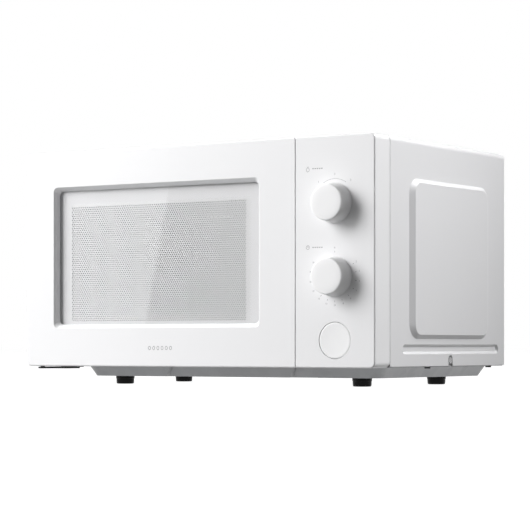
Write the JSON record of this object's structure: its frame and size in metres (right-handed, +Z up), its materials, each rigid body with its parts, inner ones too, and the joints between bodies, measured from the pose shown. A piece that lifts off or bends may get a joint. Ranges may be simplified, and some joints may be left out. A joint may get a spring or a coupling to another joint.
{
  "type": "microwave oven",
  "caption": "Counter-top microwave oven with a side-hinged window door, two turning dials, a push button that releases the door, and a turntable driven inside the cavity.",
  "frame": {"origin": "under the middle of the object, on the surface it stands on", "axes": "front faces -Y, +X to the right as seen from the front, +Z up"},
  "size_m": [0.453, 0.3264, 0.2545],
  "materials": {
    "case_paint": "fine-textured white powder coat",
    "cavity_paint": "smooth light grey oven enamel",
    "screen_paint": "white enamel on perforated steel",
    "galvanised": "galvanised sheet",
    "steel": "plain bright steel",
    "white_moulding": "white moulded plastic, satin",
    "white_dial": "white moulded plastic, fine matt",
    "choke_plastic": "pale grey moulded plastic",
    "ivory_plastic": "ivory flame-retardant plastic",
    "dark_plastic": "dark grey moulded plastic",
    "clear_pane": "clear, polished",
    "clear_film": "clear plastic film",
    "tray_glass": "clear toughened glass",
    "foot_rubber": "black rubber",
    "mica": "mica sheet",
    "copper_wire": "varnished copper wire",
    "core_steel": "varnished laminations",
    "board": "brown circuit board",
    "ceramic_white": "white ceramic"
  },
  "bodies": {
    "cabinet": {"outer_case": "case_paint", "base_plate": "galvanised", "rear_panel": "galvanised", "rear_spacers": "dark_plastic", "rubber_feet": "foot_rubber", "oven_cavity": "cavity_paint", "front_plate": "cavity_paint", "control_panel": "white_moulding", "control_bracket": "galvanised", "upper_hinge": "steel", "lower_hinge": "steel", "case_screws": "steel", "base_screws": "steel", "interlock_holder": "ivory_plastic", "interlock_switches": "dark_plastic", "power_selector": "ivory_plastic", "timer_mechanism": "ivory_plastic", "timer_bell": "steel", "turntable_motor": "galvanised", "waveguide": "galvanised", "waveguide_cover": "mica", "magnetron": "steel", "transformer_core": "core_steel", "transformer_windings": "copper_wire", "hv_capacitor": "steel", "capacitor_clamp": "galvanised", "hv_diode": "dark_plastic", "fan_motor": "core_steel", "air_duct": "ivory_plastic", "lamp_holder": "ceramic_white", "cavity_lamp": "clear_pane", "line_filter_board": "board", "filter_posts": "ivory_plastic", "fuse": "ceramic_white", "thermal_cutout": "dark_plastic", "cord_grommet": "dark_plastic"},
    "door": {"door_frame": "white_moulding", "hinge_bushes": "dark_plastic", "window_pane": "clear_pane", "door_screen": "screen_paint", "inner_film": "clear_film", "choke_cover": "choke_plastic", "latch_spring": "steel"},
    "latch": {"latch_bar": "ivory_plastic"},
    "button": {"door_button": "white_moulding"},
    "lever": {"release_lever": "ivory_plastic", "lever_spring": "steel"},
    "power_dial": {"power_knob": "white_dial", "power_shaft": "steel"},
    "timer_dial": {"timer_knob": "white_dial", "timer_shaft": "steel"},
    "drive": {"turntable_coupler": "ivory_plastic"},
    "tray": {"glass_tray": "tray_glass"},
    "ring": {"roller_ring": "ivory_plastic"},
    "roller_a": {"roller_a": "ivory_plastic"},
    "roller_b": {"roller_b": "ivory_plastic"},
    "roller_c": {"roller_c": "ivory_plastic"},
    "fan": {"fan_blade": "ivory_plastic", "fan_shaft": "steel"}
  },
  "joints": [
    {"name": "door_hinge", "type": "hinge", "parent": "cabinet", "child": "door", "pos_m": [-0.215, -0.12675, 0.137], "axis": [0, 0, -1], "range_deg": [0, 100]},
    {"name": "latch_slide", "type": "slide", "parent": "door", "child": "latch", "axis": [0, 0, 1], "range_m": [0, 0.0035], "deforming": ["latch_spring"]},
    {"name": "door_button", "type": "slide", "parent": "cabinet", "child": "button", "axis": [0, 1, 0], "range_m": [0, 0.0045], "stiffness_N_per_m": 400, "springref_m": -0.004},
    {"name": "release_lever", "type": "hinge", "parent": "cabinet", "child": "lever", "pos_m": [0.137, -0.10975, 0.054], "axis": [1, 0, 0], "range_deg": [0, 21.49]},
    {"name": "power_dial_turn", "type": "hinge", "parent": "cabinet", "child": "power_dial", "pos_m": [0.1764, -0.15375, 0.1858], "axis": [0, 1, 0], "range_deg": [-41, 41]},
    {"name": "timer_dial_turn", "type": "hinge", "parent": "cabinet", "child": "timer_dial", "pos_m": [0.1764, -0.15375, 0.1117], "axis": [0, 1, 0], "range_deg": [0, 300]},
    {"name": "turntable_spin", "type": "hinge", "parent": "cabinet", "child": "drive", "pos_m": [-0.05, 0.0106, 0.042], "axis": [0, 0, 1], "continuous": true},
    {"name": "tray_lift", "type": "slide", "parent": "drive", "child": "tray", "axis": [0, 0, 1], "range_m": [0, 0.03]},
    {"name": "ring_spin", "type": "hinge", "parent": "cabinet", "child": "ring", "pos_m": [-0.05, 0.0106, 0.0427], "axis": [0, 0, 1], "continuous": true},
    {"name": "roller_a_spin", "type": "hinge", "parent": "ring", "child": "roller_a", "pos_m": [0.041, 0.0106, 0.0427], "axis": [1, 0, 0], "continuous": true},
    {"name": "roller_b_spin", "type": "hinge", "parent": "ring", "child": "roller_b", "pos_m": [-0.0955, 0.08941, 0.0427], "axis": [-0.5, 0.866, 0], "continuous": true},
    {"name": "roller_c_spin", "type": "hinge", "parent": "ring", "child": "roller_c", "pos_m": [-0.0955, -0.06821, 0.0427], "axis": [-0.5, -0.866, 0], "continuous": true},
    {"name": "fan_spin", "type": "hinge", "parent": "cabinet", "child": "fan", "pos_m": [0.165, 0.10425, 0.15], "axis": [0, 1, 0], "continuous": true}
  ],
  "couplings": [
    {"joint": "latch_slide", "follows": "door_button", "ratio": 0.77778},
    {"joint": "release_lever", "follows": "door_button", "rad_per_m": 83.333},
    {"joint": "ring_spin", "follows": "turntable_spin", "ratio": 0.5},
    {"joint": "roller_a_spin", "follows": "turntable_spin", "ratio": -6.1486},
    {"joint": "roller_b_spin", "follows": "turntable_spin", "ratio": -6.1486},
    {"joint": "roller_c_spin", "follows": "turntable_spin", "ratio": -6.1486}
  ]
}
